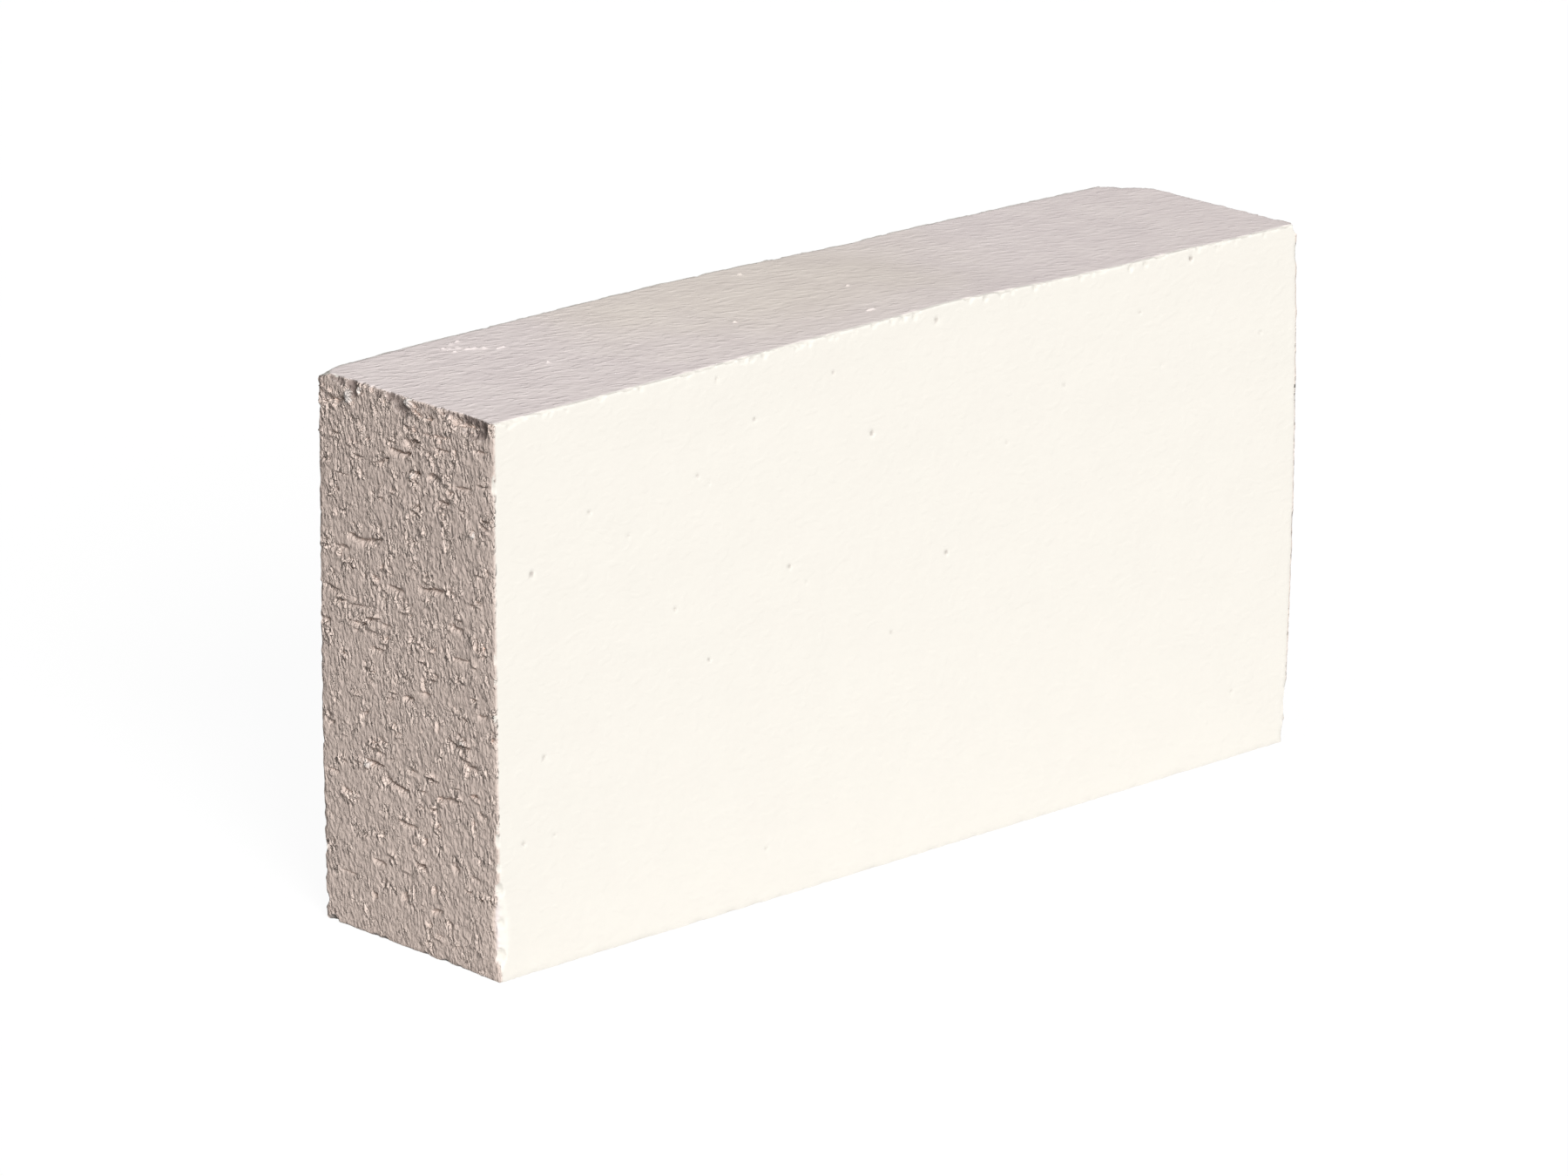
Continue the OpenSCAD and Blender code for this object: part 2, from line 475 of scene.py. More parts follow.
def pressed_recess(points, axis):
    """Depth of the faces that look along this axis below their plane, in mm, at these points.

    d = ripples that are eight times as long along the length as across it, plus a hole with the
    profile 0.4 R x clip(1.5 - (r / R)^2, 0, 1) at each pinhole of the front, less a crumb that
    rises to the back at each scuff of the top."""
    depth = RIPPLE_DEPTH + RIPPLE_DEPTH * noise(points, RIPPLE_SIZE, 20 + axis)
    if axis == 1:
        front = points[:, 1] < MIDDLE[1]
        for along, height, radius in PINHOLES:
            away = ((points[:, 0] - along)**2 + (points[:, 2] - height)**2) / radius**2
            depth += np.where(front, PINHOLE_DEPTH * radius * np.clip(1.5 - away, 0, 1), 0)
    if axis == 2:
        top = points[:, 2] > MIDDLE[2]
        for along, across, half_length, half_width in SCUFFS:
            off = (points[:, 1] - across) / half_width
            away = ((points[:, 0] - along) / half_length)**2 + off**2
            raised = np.clip(1.3 - away, 0, 1) * np.clip(0.6 + 0.5 * off, 0, 1) * top
            depth -= SCUFF_HEIGHT * raised
    return depth


# How far in from the block's faces the relief is worked out, in mm.
REACH = 10.0
recess = np.stack((np.zeros(len(start)), pressed_recess(start, 1), pressed_recess(start, 2)),
                  axis=1)
near_part, far_part = start[:, 0] < NEAR + REACH, start[:, 0] > FAR - REACH
recess[near_part, 0] = torn_recess(start[near_part], NEAR_SEED)
recess[far_part, 0] = torn_recess(start[far_part], FAR_SEED)
print("the recesses run from", recess.min().round(2), "to", recess.max().round(2), "mm")

# %% [markdown]
# ## Chips and breaks
#
# A brick loses its sharp edges first. The two top corners at the back broke along flat planes, and
# the near end's top arris lost large bites. Each bite is made of a few balls that overlap, because
# a knock breaks brittle clay in shells. The breaks and the large bites follow those of the exact
# model, and the small bites are placed at random.

# %% List the breaks and the bites
# Broken corners: how far the plane reaches along, across and down from the corner, in mm.
FAR_BREAK = np.array((8.5, 10, 6))
NEAR_BREAK = np.array((5, 3.4, 1.4))

# Balls that bit into the near end just under its top arris: place across, height, radius and
# depth in mm.
BITES = (
    (15.4, 109.1, 2, 0.95), (15.1, 107.8, 1.6, 0.8), (4.2, 109.6, 2.6, 0.6), (2.4, 109, 2.8, 0.52),
    (0.8, 108.2, 2.6, 0.55), (-0.8, 107.5, 2.2, 0.5), (2, 107.7, 2.4, 0.5), (0.4, 107, 2, 0.45),
    (-12.2, 110.2, 2.6, 0.6), (-14.4, 109.7, 2.8, 0.8), (-16.6, 109.3, 3.2, 1.1),
    (-18.8, 109, 3.2, 1.2), (-21, 108.6, 2.6, 1.2), (-17.2, 107.9, 2.4, 0.95),
    (-19.4, 107.5, 2.4, 1.05), (-21.2, 107.4, 2, 1))

SMALL_BITES = 26
SMALL_BITE_DEPTH = 0.35

# Grains that stand in the bites and on the near end: place across, height, radius and depth of
# the centre in mm.
GRAINS = ((-1, 109.2, 0.8, 0), (16.3, 107, 0.8, -0.1), (16.1, 106, 0.7, 0),
          (13.2, 108.4, 0.5, 0.1), (-18.9, 87.3, 0.6, 0.2), (12, 34.6, 0.7, 0.2))


def end_ball(across, height, radius, depth):
    """A ball whose deepest point lies at this depth of the near end: x = end + depth - r."""
    return (NEAR + depth - radius, across, height, radius)


def small_bite():
    """A bite of 0.8 to 1.6 mm radius at a random place just under the near end's top arris."""
    return end_ball(random.uniform(FRONT + 3, BACK), TOP - random.random(),
                    0.8 + 0.8 * random.random(), SMALL_BITE_DEPTH)


bites = [end_ball(*bite) for bite in BITES] + [small_bite() for _ in range(SMALL_BITES)]
print(len(bites), "bites")

# %% [markdown]
# ## Flakes
#
# A flake is the cap of one ball, given by its width and its depth, which can be measured on a real
# chip. The ones listed here are those that show best, on the arrises that are knocked most.

# %% List the flakes
# The way that a flake's ball lies from the arris.
OFF_FRONT = (-0.25, -0.97, 0)
FAR_FRONT = (1, -0.5, 0)
NEAR_FRONT = (-1, -1, 0)
NEAR_BACK = (-1, 1, 0)
NEAR_FOOT = (-1, 0, -1)
NEAR_TOP = (-1, 0, 1)
FRONT_TOP = (0, -1, 1)
OFF_TOP = (0, -0.35, 0.94)
UNDER_TOP = (0, -1, 0.1)
BACK_TOP = (0, 1, 1)
FRONT_FOOT = (0, -0.6, -1)

# Flakes: a point of an arris, the way that the ball lies from it, and the flake's width and depth
# in mm.
FLAKES = (
    ((NEAR, FRONT, 23), OFF_FRONT, 3, 0.4), ((NEAR, FRONT + 0.6, 18.4), OFF_FRONT, 3, 0.5),
    ((NEAR, FRONT + 1.3, 11.8), OFF_FRONT, 2.4, 0.25),
    ((NEAR, FRONT + 1.5, 5.6), OFF_FRONT, 2, 0.2), ((NEAR, FRONT, 31), NEAR_FRONT, 2.4, 0.3),
    ((NEAR, FRONT, 60), NEAR_FRONT, 2.4, 0.3), ((NEAR, BACK, 20), NEAR_BACK, 4.4, 0.6),
    ((NEAR, BACK, 14.5), NEAR_BACK, 4, 0.7), ((NEAR, BACK, 4), NEAR_BACK, 4, 0.9),
    ((NEAR, 22.8, 0.6), NEAR_FOOT, 3, 0.7), ((NEAR, 19, 0), NEAR_FOOT, 3, 0.4),
    ((NEAR, 10.5, 0), NEAR_FOOT, 3.4, 0.6), ((NEAR, 8, 0), NEAR_FOOT, 3, 0.6),
    ((NEAR, -9.5, 0), NEAR_FOOT, 3.6, 0.6), ((NEAR, -13.5, 0), NEAR_FOOT, 4, 0.6),
    ((NEAR, 20.5, TOP), NEAR_TOP, 3, 0.5), ((NEAR, 8.5, TOP), NEAR_TOP, 3, 0.5),
    ((31, BACK, TOP), BACK_TOP, 9, 0.6), ((-3, BACK, TOP), BACK_TOP, 3, 0.5),
    ((5, BACK, TOP), BACK_TOP, 4, 0.6), ((19, BACK, TOP), BACK_TOP, 3, 0.6),
    ((-12, BACK, TOP), BACK_TOP, 2.4, 0.4), ((-60, BACK, TOP), BACK_TOP, 3, 0.4),
    ((-88, BACK, TOP), BACK_TOP, 3, 0.4), ((-100, FRONT, TOP), FRONT_TOP, 4, 0.3),
    ((41, FRONT, TOP), FRONT_TOP, 6, 0.4), ((53, FRONT, TOP), FRONT_TOP, 5, 0.5),
    ((60, FRONT, TOP), FRONT_TOP, 4, 0.35), ((88, FRONT, TOP), FRONT_TOP, 5, 0.45),
    ((-104.5, FRONT, TOP), FRONT_TOP, 11, 0.7), ((-96, FRONT, TOP), FRONT_TOP, 7, 0.5),
    ((FAR, FRONT, TOP - 1), (1, -0.6, 0.8), 4, 0.9), ((FAR, FRONT, 9), FAR_FRONT, 9, 0.8),
    ((FAR, FRONT, 2), FAR_FRONT, 7, 0.9), ((FAR, FRONT, 104), FAR_FRONT, 6, 0.5))
print(len(FLAKES), "flakes picked by hand")

# %% [markdown]
# ## Flakes at random
#
# The other flakes are too many to list. Their places are drawn evenly along the arrises, and most
# widths come from the square of an even random number, so that few of them are wide.

# %% Draw the other flakes
RANDOM_FLAKES = 150
FRONT_TOP_FLAKES = 110
BACK_TOP_FLAKES = 34
FRONT_FOOT_FLAKES = 24


def flake_ball(place, outward, width, depth):
    """The ball that cuts a flake this wide and deep: r = ((w/2)^2 + d^2) / 2d, r - d outside."""
    radius = ((width / 2)**2 + depth**2) / (2 * depth)
    outward = np.array(outward) / np.linalg.norm(outward)
    return (*(np.array(place) + outward * (radius - depth)), radius)


def flakes_along(count, last, across, height, outward, widths, shares, power=1):
    """Flakes at random places on an arris of the length, from the near end to the last place.

    A width is w0 + w1 x a random number to this power, and a depth is a random share of it."""
    balls = []
    for along in random.uniform(NEAR, last, count):
        width = widths[0] + widths[1] * random.random()**power
        depth = width * random.uniform(*shares)
        balls.append(flake_ball((along, across, height), outward, width, depth))
    return balls


def flakes_under_top():
    """Small flakes up to 1.1 mm under the front top arris."""
    balls = []
    for along in random.uniform(NEAR, FAR, FRONT_TOP_FLAKES // 2):
        width = 0.8 + 1.2 * random.random()
        place = (along, FRONT, TOP - 0.3 - 0.8 * random.random())
        balls.append(flake_ball(place, UNDER_TOP, width, width * random.uniform(0.14, 0.2)))
    return balls


def flakes_all_round():
    """Flakes on all twelve arrises, most of them on the upright ones and those of the length.

    An arris is given by the axis that it runs along and its side along the other two."""
    balls = []
    for _ in range(RANDOM_FLAKES):
        axis = random.choice(3, p=(0.34, 0.26, 0.4))
        sides = random.choice((-1.0, 1.0), size=3)
        sides[axis] = 0
        place = MIDDLE + sides * SIZE / 2
        place[axis] = LOW[axis] + random.random() * SIZE[axis]
        width = 1.2 + 2.6 * random.random()**2
        depth = width * (0.08 + 0.1 * random.random())
        balls.append(flake_ball(place, sides, width, depth))
    return balls


flakes = [flake_ball(*flake) for flake in FLAKES]
flakes += flakes_along(FRONT_TOP_FLAKES, FAR, FRONT, TOP, OFF_TOP, (1, 4.5), (0.07, 0.13), 2)
flakes += flakes_under_top() + flakes_all_round()
flakes += flakes_along(BACK_TOP_FLAKES, FAR, BACK, TOP, BACK_TOP, (1.6, 3.4), (0.1, 0.18), 2)
flakes += flakes_along(FRONT_FOOT_FLAKES, MIDDLE[0], FRONT, FOOT, FRONT_FOOT, (2, 4), (0.04, 0.07))
print(len(flakes), "flakes in all")

# %% [markdown]
# ## Worn arrises
#
# Handling rounds the arrises of a brick unevenly. The rounding wanders along them, and is greatest
# where the near end meets the top and at the foot of the near front arris. The fracture is the
# rough relief of a break, a noise that is added to each cut. It is calmer on the front face.

# %% Wear the arrises
near_top = np.hypot(start[:, 0] - NEAR, start[:, 2] - TOP)
front_top = np.hypot(start[:, 1] - FRONT, start[:, 2] - TOP)
front_foot = np.hypot(start[:, 1] - FRONT, start[:, 2] - FOOT)
near_front = np.hypot(start[:, 0] - NEAR, start[:, 1] - FRONT)
front_arris = np.minimum(front_top, near_front)
# The part of the near front arris that is worn most, from 7 to 12 mm above the foot.
foot_part = smooth_step(start[:, 2], 0, 7) * (1 - smooth_step(start[:, 2], 12, 24))

# The rounding in mm at every point. What an arris changes in it fades over about 4 mm.
LEAST_WEAR, FOOT_WEAR = 0.12, 2.6
arris_wear = 0.5 + 0.35 * noise(start, 5, 30) + 0.3 * noise(start, 1.6, 31)
arris_wear += 0.3 * np.exp(-(near_top / 4)**2) - 0.35 * np.exp(-(front_arris / 4)**2)
arris_wear -= 0.25 * np.exp(-(front_foot / 4)**2)
arris_wear = np.clip(arris_wear, LEAST_WEAR, None)
arris_wear += FOOT_WEAR * foot_part * np.exp(-(near_front / 6)**4)

fracture = 0.2 * noise(start, 2.2, 32) + 0.16 * noise(start, 0.9, 33)
fracture *= np.where(start[:, 1] == FRONT, 0.5, 1)
print("the rounding runs from", arris_wear.min().round(2), "to", arris_wear.max().round(2), "mm")

# %% [markdown]
# ## The clay that is left
#
# The clay is a solid given by one function, which is below zero inside it and above zero outside.
# It is the rounded block, less everything that broke off. A boolean with hundreds of balls would
# give ragged slivers.

# %% Say where the clay is
NOWHERE = -100.0


def worn_block(points):
    """How far points lie outside the block with its relief and its worn arrises, in mm.

    It is |max(q, 0)| + min(max(q), 0) - r, where q is how far the point is beyond the flat of each
    face less its recess and the rounding r."""
    over = np.abs(points - MIDDLE) - SIZE / 2 + recess + arris_wear[:, None]
    beyond = np.linalg.norm(np.clip(over, 0, None), axis=1)
    return beyond + np.minimum(over.max(axis=1), 0) - arris_wear


def broken_off(points, balls):
    """How far points lie inside the ball that they are deepest in, in mm, plus the fracture."""
    depth = np.full(len(points), NOWHERE)
    for x, y, z, radius in balls:
        depth = np.maximum(depth, radius - np.linalg.norm(points - (x, y, z), axis=1))
    return depth + fracture


def corner_breaks(points):
    """How far points lie beyond the planes that the two broken corners left, in mm.

    A plane cuts the three arrises at the distances a, b and c from its corner. A point that lies
    p from the corner, counted outwards, is (p . n + 1) / |n| beyond it, and n = (1/a, 1/b, 1/c)."""
    depth = np.full(len(points), NOWHERE)
    for corner, reaches in ((HIGH, FAR_BREAK), ((NEAR, BACK, TOP), NEAR_BREAK)):
        facing = np.sign(corner - MIDDLE) / reaches
        depth = np.maximum(depth, ((points - corner) @ facing + 1) / np.linalg.norm(facing))
    return depth + fracture


def grain_distance(points, grain):
    """How far points lie outside a grain's ball, in mm: |p - c| - r."""
    across, height, radius, depth = grain
    return np.linalg.norm(points - (NEAR + depth, across, height), axis=1) - radius


def outside(points):
    """How far points lie outside the clay that is left, in mm, below zero inside it.

    What broke off is taken from the block by max(), and a grain joins it by min()."""
    clay_left = np.max((worn_block(points), broken_off(points, bites),
                        broken_off(points, flakes), corner_breaks(points)), axis=0)
    for grain in GRAINS:
        clay_left = np.minimum(clay_left, grain_distance(points, grain) + fracture)
    return clay_left


print((outside(start) > 0).mean().round(3), "of the lattice points lie outside the clay")

# %% [markdown]
# ## Finding the surface
#
# Each lattice point is drawn in along a straight line towards a smaller block within, until it
# meets the clay. The place is found by halving the line again and again, for all the points at
# once. Neighbours move along nearly the same line, so the cells stay even.

# %% Draw each point in to the clay
HALVINGS = 16
OUTERMOST, INNERMOST = 1.06, 0.3
core = np.clip(start, LOW + REACH, HIGH - REACH)
ray = start - core
shallow, deep = np.full(len(start), OUTERMOST), np.full(len(start), INNERMOST)
for _ in range(HALVINGS):
    half_way = (shallow + deep) / 2
    in_clay = outside(core + ray * half_way[:, None]) < 0
    deep = np.where(in_clay, half_way, deep)
    shallow = np.where(in_clay, shallow, half_way)
surface = core + ray * shallow[:, None]
drawn_in = np.linalg.norm(start - surface, axis=1)
print("the deepest point lies", drawn_in.max().round(2), "mm in")

# %% [markdown]
# ## Out of true
#
# Fired clay shrinks unevenly, so no brick is quite true. Each corner of this one lies a fraction
# of a millimetre off the nominal block, the top is crowned where the bar sagged, and both ends
# swell a little. A lattice modifier could bend it too, but it can't follow the uneven line of a
# top arris.

# %% Bend the block
# Errors of the eight corners in mm, for near or far, then front or back, then foot or top.
CORNER_ERRORS = np.array((
    (((0.5, -0.7, 0), (-0.3, 0.4, -0.5)), ((0.9, 0, 0), (0.1, 0.2, -0.1))),
    (((-0.7, -0.1, 0), (-0.6, 0.4, 0.2)), ((-0.4, 0, 0), (-0.2, -0.1, 0.15)))))
NEAR_SWELL, FAR_SWELL = 0.4, 1.3

# How far the top arrises rise above straight lines: places along the length, then the rise in mm
# of each.
CROWN_PLACES = (-110, -88, -66, -44, -30, -22, 0, 10, 22, 29, 38, 48, 57, 66, 77, 86, 97, 110)
BACK_CROWN = (0, 0.6, 0.8, 1.1, 1.25, 1.3, 1.1, 0.9, 0.6, 0.4, 0.55, 0.6, 0.5, 0.4, 0.35, 0.2,
              0.05, 0)
FRONT_CROWN = (0, 0.3, 0.5, 0.9, 1.1, 1.2, 1.4, 1.8, 1.35, 1.2, 0.8, 0.65, 0.4, 0.4, 0.5, 0.15,
               0.1, 0)


def crown(along, heights):
    """The rise of a top arris at these places: straight lines between the heights, smoothed by
    the mean of nine places from 4 mm before to 4 mm after."""
    return np.mean([np.interp(along + shift, CROWN_PLACES, heights) for shift in range(-4, 5)],
                   axis=0)


def bend(points):
    """Points of the true block moved to where the fired one has them.

    Each point moves by the eight corner errors, weighted by (1-u)(1-v)(1-w) and so on. Then it
    rises by the crowns of the two top arrises, shared out by v and times w^2, and each end swells
    by an arch 1 - s^2, where s runs from -1 at the foot to 1 at the top."""
    share = (points - LOW) / SIZE
    moved = points.copy()
    for corner in np.ndindex(2, 2, 2):
        weight = np.where(corner, share, 1 - share).prod(axis=1)
        moved += weight[:, None] * CORNER_ERRORS[corner]
    front, back = crown(points[:, 0], FRONT_CROWN), crown(points[:, 0], BACK_CROWN)
    moved[:, 2] += (front * (1 - share[:, 1]) + back * share[:, 1]) * share[:, 2]**2
    upright_arch = 1 - (2 * share[:, 2] - 1)**2
    moved[:, 0] += FAR_SWELL * upright_arch * share[:, 0]**4
    moved[:, 0] -= NEAR_SWELL * upright_arch * (1 - share[:, 0])**4
    return moved


place = bend(surface)
place[:, 2] -= place[:, 2].min()
print("the brick spans", np.ptp(place, axis=0).round(2), "mm")

# %% [markdown]
# ## What the finish has to know
#
# The colour of a brick follows its surface: torn clay is warm and coarse, hollows get painted
# shade, and a scuff is chalky. So six values go with each point, for the material to read: how torn
# the clay is, how rough, how much painted shade a hollow gets, how much of the painted pink shade
# tint a face gets, how scuffed, which also holds a painted highlight on the grains, and whether it
# is the bare clay of a chip. Painted by hand, they would never line up with the relief.

# %% Mark the surface
# Strengths of the painted shade in pinholes, foot notches and deep pits of the end.
HOLE_SHADE, NOTCH_SHADE, PIT_SHADE = 0.75, 0.8, 0.05
# The grains get a painted highlight, half of the chalk colour.
GRAIN_HIGHLIGHT = 0.5

end_gap = np.minimum(surface[:, 0] - NEAR, FAR - surface[:, 0])
on_end = 1 - smooth_step(end_gap - recess[:, 0], 0.25, 0.6)
chipped = smooth_step(-worn_block(surface), 0.04, 0.2)
bitten = chipped * (broken_off(surface, bites) > -0.05)
torn = np.maximum(on_end * (1 - chipped), bitten)
bare = chipped * (1 - bitten)
near_end = start[:, 0] < MIDDLE[0]
rough = np.where(near_end, roughness(start, NEAR_SEED), roughness(start, FAR_SEED))
rough *= 1 - 0.4 * bitten
# Where the painted pink shade tint goes: all but the front and the back.
shade_pink = 1 - smooth_step(np.abs(surface[:, 1] - MIDDLE[1]), SIZE[1] / 2 - 1.2, SIZE[1] / 2 - 0.4)

below_end = surface[:, 0] - NEAR
pitted = on_end * smooth_step(recess[:, 0], 0.6, 1.4)
foot_notch = bare * (np.hypot(below_end, surface[:, 2]) < 2) * (surface[:, 1] > FRONT + 4)
front_holes = (start[:, 1] == FRONT) * smooth_step(recess[:, 1], 0.12, 0.36)
# Painted shade: pits, bites, foot notches and pinholes are darkened where shade falls in them, the
# deep part of a bite most.
painted_shade = np.max((PIT_SHADE * pitted, bitten * (0.74 + 0.26 * smooth_step(below_end, 0.4, 0.9)),
                 NOTCH_SHADE * foot_notch, HOLE_SHADE * front_holes), axis=0)

scuffs_and_highlights = np.zeros(len(surface))
scuff_raggedness = 0.9 * noise(surface, (1.2, 0.5, 5), 50)
for along, across, half_length, half_width in SCUFFS:
    away = ((surface[:, 0] - along) / half_length)**2 + ((surface[:, 1] - across) / half_width)**2
    chalky = (start[:, 2] == TOP) * (1 - smooth_step(away + scuff_raggedness, 0.4, 1.2))
    scuffs_and_highlights = np.maximum(scuffs_and_highlights, chalky)
# A grain gets a painted highlight and no painted shade.
for grain in GRAINS:
    in_grain = grain_distance(surface, grain) < 0.15
    scuffs_and_highlights = np.maximum(scuffs_and_highlights, GRAIN_HIGHLIGHT * in_grain)
    painted_shade = np.where(in_grain, 0, painted_shade)
marks = {"torn": torn, "rough": rough, "painted_shade": painted_shade, "shade_pink": shade_pink, "scuffs_and_highlights": scuffs_and_highlights,
         "bare": bare}
for name, values in marks.items():
    print(name, "is", values.mean().round(3), "on the mean")

# %% [markdown]
# ## The mesh
#
# The points and cells go into the mesh as whole arrays. The cells are shaded smooth, but an edge
# where the surface turns by more than 35 degrees stays sharp, so that the breaks look crisp. The
# mesh then takes the place of the exact model's block.

# %% Make the mesh
SHARP_ANGLE = np.radians(35)
mesh = bpy.data.meshes.new("dressed_firebrick")
mesh.vertices.add(len(place))
mesh.vertices.foreach_set("co", (place * MM).astype(np.float32).ravel())
mesh.loops.add(len(corners))
mesh.loops.foreach_set("vertex_index", corners.astype(np.int32).ravel())
mesh.polygons.add(len(corner_counts))
loop_starts = np.cumsum(corner_counts) - corner_counts
mesh.polygons.foreach_set("loop_start", loop_starts.astype(np.int32))
mesh.update(calc_edges=True)
mesh.polygons.foreach_set("use_smooth", np.ones(len(corner_counts), bool))
for name, values in marks.items():
    attribute = mesh.attributes.new(name, "FLOAT", "POINT")
    attribute.data.foreach_set("value", values.astype(np.float32))
mesh.validate()
mesh.set_sharp_from_angle(angle=SHARP_ANGLE)
brick = in_scene("dressed_firebrick", mesh)
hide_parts("firebrick")
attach(brick, "root")
print(len(mesh.vertices), "points and", len(mesh.polygons), "cells in the mesh")

# %% [markdown]
# ## The finish of fired clay
#
# Fireclay is matt and nearly white: cream where it slid through the press, pinkish grey on the top
# and the foot, where the pink is a painted shade tint, and warmer where it is torn. A picture could
# be wrapped round the block, but it would blur close up and show its seams. So the finish is worked
# out from each point's place on the object and from the six values that the mesh keeps. Each helper
# adds one node.

# %% Start the material
def fresh_tree(owner):
    """The node tree of a material or a world, switched on and emptied."""
    owner.use_nodes = True
    owner.node_tree.nodes.clear()
    return owner.node_tree


def add(kind, settings=(), **inputs):
    """One node of this kind in the tree, with its settings and its inputs.

    An input goes by its name, or by i and its number, and is a value or another node's output."""
    node = tree.nodes.new("ShaderNode" + kind)
    for name, value in dict(settings).items():
        setattr(node, name, value)
    for name, value in inputs.items():
        socket = node.inputs[int(name[1:]) if name[1:].isdigit() else name]
        if isinstance(value, bpy.types.NodeSocket):
            tree.links.new(value, socket)
        else:
            socket.default_value = value
    return node


def value_of(name):
    """The value that the mesh keeps at each point under this name."""
    return add("Attribute", {"attribute_name": name}).outputs["Fac"]


def math(operation, a, b=0.0, c=0.0):
    """The result of an operation on up to three numbers."""
    return add("Math", {"operation": operation}, i0=a, i1=b, i2=c).outputs[0]


def ramp(value, low, high, first=0.0, last=1.0, kind="LINEAR"):
    """First where the value is at low, last where it is at high, and a blend between them."""
    settings = {"interpolation_type": kind}
    return add("MapRange", settings, i0=value, i1=low, i2=high, i3=first, i4=last).outputs[0]


def mix(factor, a, b):
    """Colour a where the factor is 0, and colour b where it is 1."""
    return add("Mix", {"data_type": "RGBA"}, i0=factor, i6=a, i7=b).outputs[2]


def stretched(stretch, turn=(0, 0, 0)):
    """The place on the object, for a pattern that is stretched along the axes and then turned."""
    return add("Mapping", {"vector_type": "TEXTURE"}, Vector=here, Rotation=turn,
               Scale=stretch).outputs[0]


def texture(scale, vector, detail=2.0, roughness=0.5):
    """A noise pattern of this many lumps to the metre, about 0.5 on the mean."""
    return add("TexNoise", Vector=vector, Scale=scale, Detail=detail,
               Roughness=roughness).outputs[0]


clay = bpy.data.materials.new("fired_clay")
tree = fresh_tree(clay)
here = add("TexCoord").outputs["Object"]
torn_here, painted_shade_here = value_of("torn"), value_of("painted_shade")
rough_here, shade_pink_here = value_of("rough"), value_of("shade_pink")
print("the material", clay.name, "reads", ", ".join(marks), "from the mesh")

# %% [markdown]
# ## The colours
#
# The clay's colour comes from a trace of iron. Each part of the brick has a light and a dark colour
# that lie close together, and a pattern blends them. The pink of the top and the foot is a painted
# shade tint, the torn body colour is partly painted shade, and the dark brown is painted shade in
# the hollows that also darkens the torn end towards the top. Chalk is a fresh scuff and a painted
# highlight on the grains, and chip is clean clay from within. Apart from these, the colours have no
# light or shade in them.

# %% Choose the colours
CREAM = (0.927, 0.891, 0.82, 1)
CREAM_DARK = (0.917, 0.881, 0.811, 1)
# The pink of the top and the foot is painted shade, a tint of the dimmer light on them.
SHADE_PINK = (0.975, 0.88, 0.856, 1)
SHADE_PINK_DARK = (0.91, 0.815, 0.8, 1)
SHADE_PINK_WARM = (0.97, 0.88, 0.806, 1)
SHADE_PINK_WARM_DARK = (0.905, 0.815, 0.752, 1)
# The torn body colour is darker than the cream, partly the clay's own warmer colour and partly
# painted shade of the end.
SHADED_BODY = (0.81, 0.673, 0.598, 1)
SHADED_BODY_DARK = (0.755, 0.623, 0.554, 1)
# The paler torn colours are painted light: they make up for the shade that the rough relief casts
# on itself.
LIT_TORN_PALE = (0.995, 0.833, 0.74, 1)
LIT_TORN_DARK = (0.855, 0.71, 0.632, 1)
# The dark brown is painted shade for the hollows, and it also darkens the torn end towards the top.
DARK_BROWN = (0.235, 0.184, 0.168, 1)
# Chalk is a fresh scuff, and it is also a painted highlight on the grains.
CHALK_AND_HIGHLIGHT = (0.97, 0.96, 0.94, 1)
CHIP = (0.85, 0.815, 0.745, 1)
print("the cream is", (np.mean(CREAM[:3]) / np.mean(SHADED_BODY[:3])).round(2), "times the body colour")

# %% [markdown]
# ## The pressed skin
#
# The front and the back are cream. The top and the foot get a pinkish tint that is painted shade,
# the tint of the dimmer light on them, and it is warmer in the middle of the top. No firing is
# even, so small clouds vary each colour a little, and the edge of the warm part is ragged.

# %% Colour the pressed skin
CLOUD_SCALE = 130
WARM_MIDDLE = (-0.012, 0.02, 0.11)
WARM_SHAPE = (1, 0.8, 1)
WARM_EDGE_SCALE = 40
WARM_INNER, WARM_OUTER, WARM_RAGGED = 0.04, 0.085, 0.04

cloud = ramp(texture(CLOUD_SCALE, here, 4, 0.6), 0.35, 0.65)
from_middle = add("VectorMath", {"operation": "DISTANCE"}, i0=stretched(WARM_SHAPE),
                  i1=WARM_MIDDLE).outputs["Value"]
drift = math("MULTIPLY_ADD", texture(WARM_EDGE_SCALE, here), WARM_RAGGED, from_middle)
warmth = ramp(drift, WARM_INNER, WARM_OUTER, 1.0, 0.0, "SMOOTHSTEP")
# The painted pink shade tint of the top and the foot, warmer in the middle of the top.
shade_pink_colour = mix(warmth, mix(cloud, SHADE_PINK_DARK, SHADE_PINK),
                   mix(cloud, SHADE_PINK_WARM_DARK, SHADE_PINK_WARM))
skin_colour = mix(shade_pink_here, mix(cloud, CREAM_DARK, CREAM), shade_pink_colour)
print("the skin takes", len(tree.nodes), "nodes so far")

# %% [markdown]
# ## The torn clay
#
# Inside, the clay is warmer and full of coarse grains, and its body colour is darker than the
# cream, partly from painted shade of the end. Where the wire cut it cleanly the grains blend into
# one body, and where it ripped the clay they stand out light and dark on a paler colour, which is
# painted light that makes up for the shade of the rough relief. The torn clay gets a little darker
# towards the top. At last the colours are laid over each other: skin or torn clay first, then
# painted shade in the hollows, then chalk, which is also a painted highlight on the grains.

# %% Colour the torn clay
GRAIN_SCALE = 900
